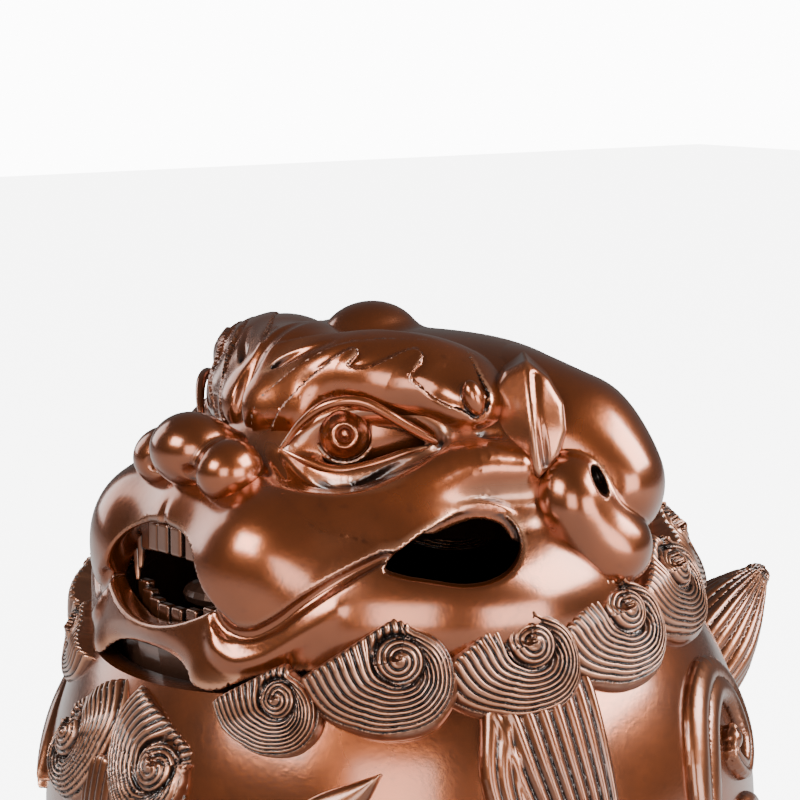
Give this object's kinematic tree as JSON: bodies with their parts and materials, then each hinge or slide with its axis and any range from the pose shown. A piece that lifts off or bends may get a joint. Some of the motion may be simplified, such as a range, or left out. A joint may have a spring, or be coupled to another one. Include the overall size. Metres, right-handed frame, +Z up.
{
  "type": "foo dog incense burner",
  "caption": "Cast bronze foo dog whose round body is a bowl on clawed legs and whose curl-fringed head is a hinged, openwork lid.",
  "frame": {"origin": "on the ground under the middle of the figure's bounding box", "axes": "+Z up, the dog faces -Y, its left side is +X"},
  "size_m": [0.1642, 0.2064, 0.1949],
  "materials": {
    "bronze": "waxed copper-brown bronze, glossy, darker in the hollows",
    "bronze_relief": "the same bronze, with dark grooves and rubbed bright ridges",
    "bronze_hinge": "plain brown bronze",
    "bronze_inside": "dark unpolished bronze"
  },
  "bodies": {
    "bowl": {"bowl_shell": "bronze", "bowl_hinge_lug": "bronze_hinge", "hinge_pin": "bronze_hinge", "tail": "bronze_relief", "chest_lock": "bronze_relief", "leg_front_left": "bronze", "leg_front_right": "bronze", "leg_rear_left": "bronze", "leg_rear_right": "bronze", "chest_curl_left": "bronze_relief", "chest_curl_right": "bronze_relief", "flank_lock_left": "bronze_relief", "flank_lock_right": "bronze_relief", "haunch_scroll_left": "bronze_relief", "haunch_scroll_right": "bronze_relief", "shoulder_flame_left": "bronze_relief", "shoulder_flame_right": "bronze_relief"},
    "head": {"head_shell": "bronze", "lid_flange": "bronze_inside", "head_hinge_lug": "bronze_hinge", "nose": "bronze", "upper_teeth": "bronze", "lower_teeth": "bronze", "tongue": "bronze", "eye_left": "bronze", "eye_right": "bronze", "brow_left": "bronze", "brow_right": "bronze", "ear_left": "bronze", "ear_right": "bronze", "horn_left": "bronze", "horn_right": "bronze", "mane_curl_left_1": "bronze_relief", "mane_curl_left_2": "bronze_relief", "mane_curl_left_3": "bronze_relief", "mane_curl_left_4": "bronze_relief", "mane_curl_left_5": "bronze_relief", "nape_curl_left": "bronze_relief", "mane_curl_right_1": "bronze_relief", "mane_curl_right_2": "bronze_relief", "mane_curl_right_3": "bronze_relief", "mane_curl_right_4": "bronze_relief", "mane_curl_right_5": "bronze_relief", "nape_curl_right": "bronze_relief"}
  },
  "joints": [
    {"name": "head_hinge", "type": "hinge", "parent": "bowl", "child": "head", "pos_m": [0, 0.05481, 0.13831], "axis": [-1, 0, 0], "range_deg": [0, 60]}
  ]
}
